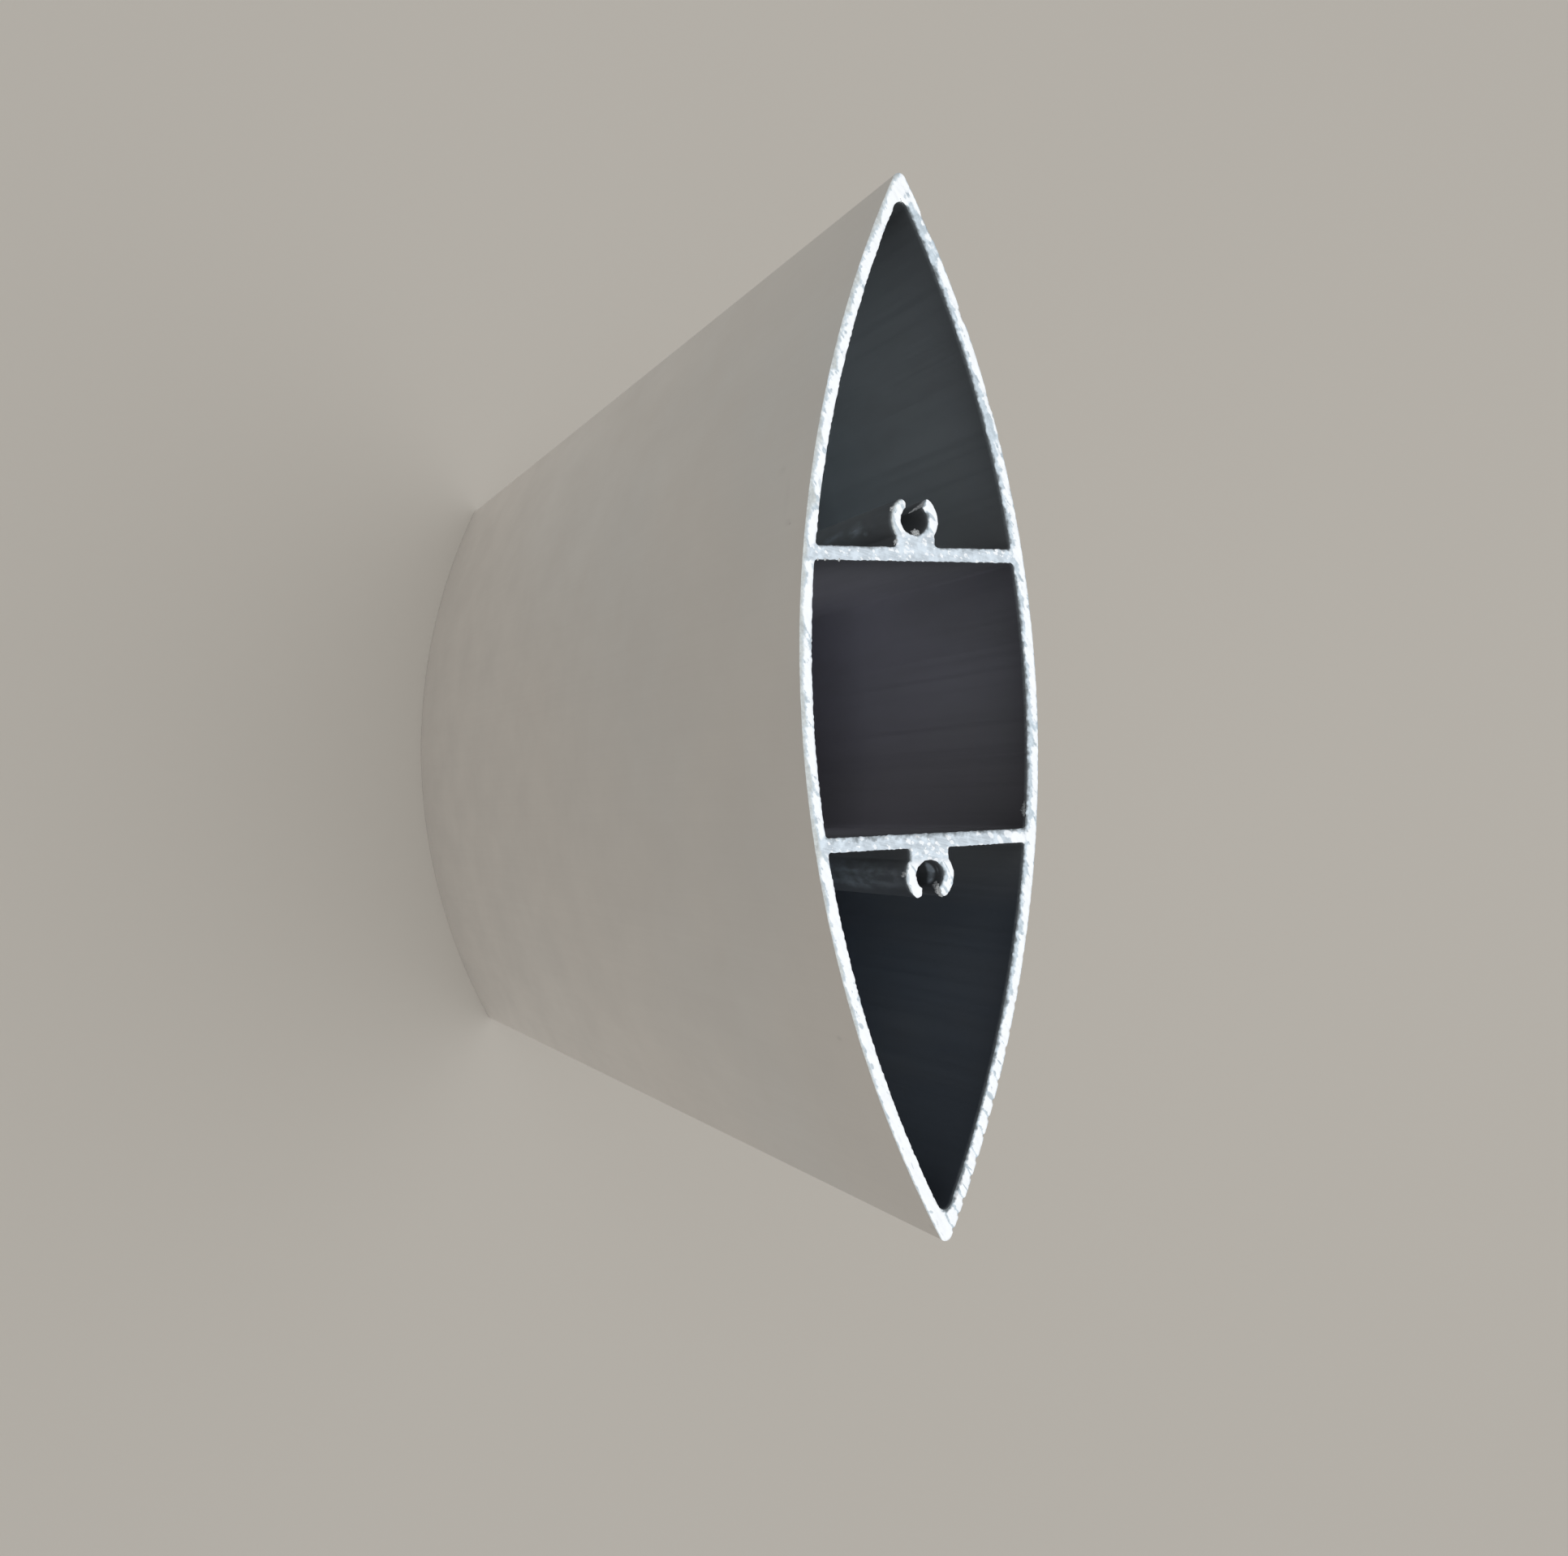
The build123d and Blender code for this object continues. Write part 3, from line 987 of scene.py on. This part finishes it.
def chip_mesh(path, seed):
    """A torn chip of metal: a closed, uneven tube along a path of places and radii in millimetres."""
    sides, rings, tip, blunt = 9, 5, 0.05, 0.35
    least, most = 0.55, 1.25
    aslant = (0.31, 0.22, 0.92)
    rng = np.random.default_rng(seed)
    path = np.array(path, float)
    at = np.linspace(0, len(path) - 1, (len(path) - 1) * rings + 1)
    line = np.column_stack([np.interp(at, np.arange(len(path)), path[:, i]) for i in range(4)])
    tapered = line[:, 3] * np.sin(np.linspace(blunt, pi - blunt, len(line))) ** 0.5
    along = np.gradient(line[:, :3], axis=0)
    along /= np.linalg.norm(along, axis=1)[:, None]
    side = np.cross(along, aslant)
    side /= np.linalg.norm(side, axis=1)[:, None]
    up = np.cross(side, along)
    angle = 2 * pi * np.arange(sides) / sides
    radius = tapered[:, None] * rng.uniform(least, most, (len(line), sides))
    ring = side[:, None] * np.cos(angle)[:, None] + up[:, None] * np.sin(angle)[:, None]
    points = line[:, None, :3] + ring * radius[..., None]
    tips = line[[0, -1], :3] + along[[0, -1]] * ((-tip,), (tip,))
    points = joined(points.reshape(-1, 3), tips)
    count = len(line) * sides
    here = np.arange(sides)
    there = np.roll(here, -1)
    faces = []
    for start in range(0, count - sides, sides):
        corners = (start + here, start + there, start + sides + there, start + sides + here)
        faces += np.column_stack(corners).tolist()
    faces += [[count, j, i] for i, j in zip(here.tolist(), there.tolist())]
    last = count - sides
    faces += [[count + 1, last + i, last + j] for i, j in zip(here.tolist(), there.tolist())]
    return points, faces


class LOUVRE_OT_chips(bpy.types.Operator):
    """Adds the torn chips that the saw left on the inner edges of the upper cut"""

    bl_idname = "louvre.build_chips"
    bl_label = "Chips"

    def execute(self, context):
        scene = context.scene
        points, faces, dust = [], [], []
        total, below_cut = 0, 0.03
        for number, (dark, path) in enumerate(CHIPS):
            made, made_faces = chip_mesh(path, scene.blade_saw_cut.seed + number)
            made[:, 2] = scene.blade_section.length / MM - np.maximum(made[:, 2], below_cut)
            points.append(made * MM)
            dust += [dark] * len(made)
            faces += [[total + index for index in reversed(face)] for face in made_faces]
            total += len(made)
        mesh = bpy.data.meshes.new("chips")
        mesh.from_pydata(joined(*points).tolist(), [], faces)
        mesh.attributes.new(CHIP_DUST, "FLOAT", "POINT").data.foreach_set("value", dust)
        mesh.materials.append(chip_material(scene.blade_finish))
        chips = put_in_scene("chips", mesh)
        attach(chips, BODY)
        return {"FINISHED"}


def add_floor(studio):
    """A large round floor under the blade."""
    corners = 128
    angle = 2 * pi * np.arange(corners) / corners
    rim = studio.floor_radius * np.column_stack((np.cos(angle), np.sin(angle), 0 * angle))
    mesh = bpy.data.meshes.new("floor")
    mesh.from_pydata(rim.tolist(), [], [list(range(corners))])
    mesh.materials.append(floor_material(studio))
    floor = put_in_scene("floor", mesh)


def add_softbox(studio):
    """A large square lamp overhead, aimed at the blade."""
    side = studio.softbox_side
    lamp = bpy.data.lights.new("softbox", "AREA")
    lamp.shape = "SQUARE"
    lamp.size = side
    lamp.energy = pi * side**2 * studio.softbox_radiance
    stand = Vector(studio.softbox_place)
    turned = (Vector((0, 0, high_corner.z)) - stand).to_track_quat("-Z", "Y")
    put_in_scene("softbox", lamp).matrix_world = Matrix.Translation(stand) @ turned.to_matrix().to_4x4()


def add_sky(studio):
    """Even light from all round, with a plain backdrop for the camera."""
    world = bpy.data.worlds.new("sky")
    n = Nodes(world)
    n.tree.nodes.clear()
    even = {"Color": (*studio.sky, 1), "Strength": studio.sky_strength}
    light = n.add("ShaderNodeBackground", even).outputs[0]
    backdrop = n.add("ShaderNodeBackground", {"Color": (*studio.backdrop, 1)}).outputs[0]
    seen = n.add("ShaderNodeLightPath").outputs["Is Camera Ray"]
    mix = n.add("ShaderNodeMixShader", {0: seen, 1: light, 2: backdrop}).outputs[0]
    n.add("ShaderNodeOutputWorld", {"Surface": mix})
    bpy.context.scene.world = world


def add_camera(studio):
    """The camera above the front skin, looking down on the upper cut."""
    data = bpy.data.cameras.new("camera")
    data.sensor_fit = "HORIZONTAL"
    data.sensor_width = 36
    data.lens = studio.lens
    data.shift_y = studio.camera_shift
    data.clip_start = 0.01
    stand = Vector(studio.camera_place)
    back = (stand - Vector(studio.camera_aim)).normalized()
    upward = Matrix.Rotation(-studio.camera_turn, 3, "Z") @ Vector((-1, 0, 0))
    right = upward.cross(back).normalized()
    up = back.cross(right)
    camera = put_in_scene("camera", data)
    camera.matrix_world = Matrix.Translation(stand) @ Matrix((right, up, back)).transposed().to_4x4()
    bpy.context.scene.camera = camera


class LOUVRE_OT_stage(bpy.types.Operator):
    """Adds the floor, the light and the camera"""

    bl_idname = "louvre.build_stage"
    bl_label = "Floor, light and camera"

    def execute(self, context):
        studio = context.scene.blade_studio
        add_floor(studio)
        add_softbox(studio)
        add_sky(studio)
        add_camera(studio)
        context.scene.view_settings.view_transform = "Standard"
        return {"FINISHED"}


OPERATORS = (LOUVRE_OT_blade, LOUVRE_OT_chips, LOUVRE_OT_stage)


class LOUVRE_PT_blade(bpy.types.Panel):
    """Lists the blade's pieces and the stage"""

    bl_idname = "LOUVRE_PT_blade"
    bl_label = "Louvre blade"
    bl_space_type = "VIEW_3D"
    bl_region_type = "UI"
    bl_category = "Blade"

    def draw(self, context):
        for operator in OPERATORS:
            self.layout.operator(operator.bl_idname)
        for group in GROUPS:
            settings = getattr(context.scene, group)
            column = self.layout.column(align=True)
            for name in settings.bl_rna.properties.keys():
                if name not in {"rna_type", "name"}:
                    column.prop(settings, name)


GROUPS = {
    "blade_section": BladeSection,
    "blade_saw_cut": SawCut,
    "blade_finish": MillFinish,
    "blade_studio": Studio,
}


def register():
    for group in (*GROUPS.values(), *OPERATORS, LOUVRE_PT_blade):
        bpy.utils.register_class(group)
    for name, group in GROUPS.items():
        setattr(bpy.types.Scene, name, PointerProperty(type=group))


def unregister():
    for name in GROUPS:
        delattr(bpy.types.Scene, name)
    for group in (LOUVRE_PT_blade, *reversed(OPERATORS), *reversed(GROUPS.values())):
        bpy.utils.unregister_class(group)


def main():
    register()
    bpy.ops.louvre.build_blade()
    bpy.ops.louvre.build_chips()
    bpy.ops.louvre.build_stage()


if __name__ == "__main__":
    main()
